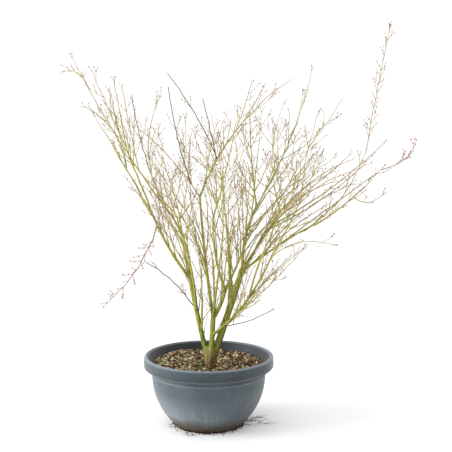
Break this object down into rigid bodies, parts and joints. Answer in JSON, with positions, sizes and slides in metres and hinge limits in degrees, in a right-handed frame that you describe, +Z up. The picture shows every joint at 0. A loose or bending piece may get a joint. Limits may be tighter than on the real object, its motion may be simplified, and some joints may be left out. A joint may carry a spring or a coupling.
{
  "type": "potted japanese maple",
  "caption": "Bare Japanese maple in bud, its green stems rising from a short ribbed trunk, in a wide plastic bowl pot filled with bark mulch.",
  "frame": {"origin": "middle of the pot's flat underside, where the plant stands", "axes": "+Z up through the pot's own axis; -Y towards the side that the picture shows; +X to the right in it"},
  "size_m": [1.0574, 0.8527, 1.2289],
  "materials": {
    "pot_plastic": "weathered moulded plastic, scuffed, soiled at the foot",
    "bark_mulch": "loose bark chips on damp compost",
    "old_bark": "ribbed grey-brown bark",
    "green_bark": "smooth green bark",
    "twig_bark": "fine bare twigs with swelling buds"
  },
  "bodies": {
    "root": {"pot": "pot_plastic", "mulch": "bark_mulch", "trunk": "old_bark", "stem_centre": "green_bark", "stem_left": "green_bark", "stem_main": "green_bark", "bough_back": "green_bark", "bough_back_left": "green_bark", "bough_back_right": "green_bark", "bough_centre": "green_bark", "bough_centre_inner": "green_bark", "bough_centre_left": "green_bark", "bough_centre_right": "green_bark", "bough_front": "green_bark", "bough_front_left": "green_bark", "bough_front_right": "green_bark", "bough_left_high": "green_bark", "bough_left_low": "green_bark", "bough_main_up": "green_bark", "bough_right_high": "green_bark", "bough_right_low": "green_bark", "bough_right_outer": "green_bark", "twigs_back": "twig_bark", "twigs_back_left": "twig_bark", "twigs_back_right": "twig_bark", "twigs_centre_cross": "twig_bark", "twigs_centre_inner": "twig_bark", "twigs_centre_left": "twig_bark", "twigs_centre_right": "twig_bark", "twigs_front": "twig_bark", "twigs_front_left": "twig_bark", "twigs_front_right": "twig_bark", "twigs_inner_centre": "twig_bark", "twigs_inner_left": "twig_bark", "twigs_inner_right": "twig_bark", "twigs_left_droop": "twig_bark", "twigs_left_high": "twig_bark", "twigs_left_inner": "twig_bark", "twigs_left_low": "twig_bark", "twigs_left_mid": "twig_bark", "twigs_left_slim": "twig_bark", "twigs_main_left": "twig_bark", "twigs_main_up": "twig_bark", "twigs_right_far": "twig_bark", "twigs_right_high": "twig_bark", "twigs_right_low": "twig_bark", "twigs_right_outer": "twig_bark", "twigs_right_slim": "twig_bark", "twigs_right_top": "twig_bark"}
  },
  "joints": []
}
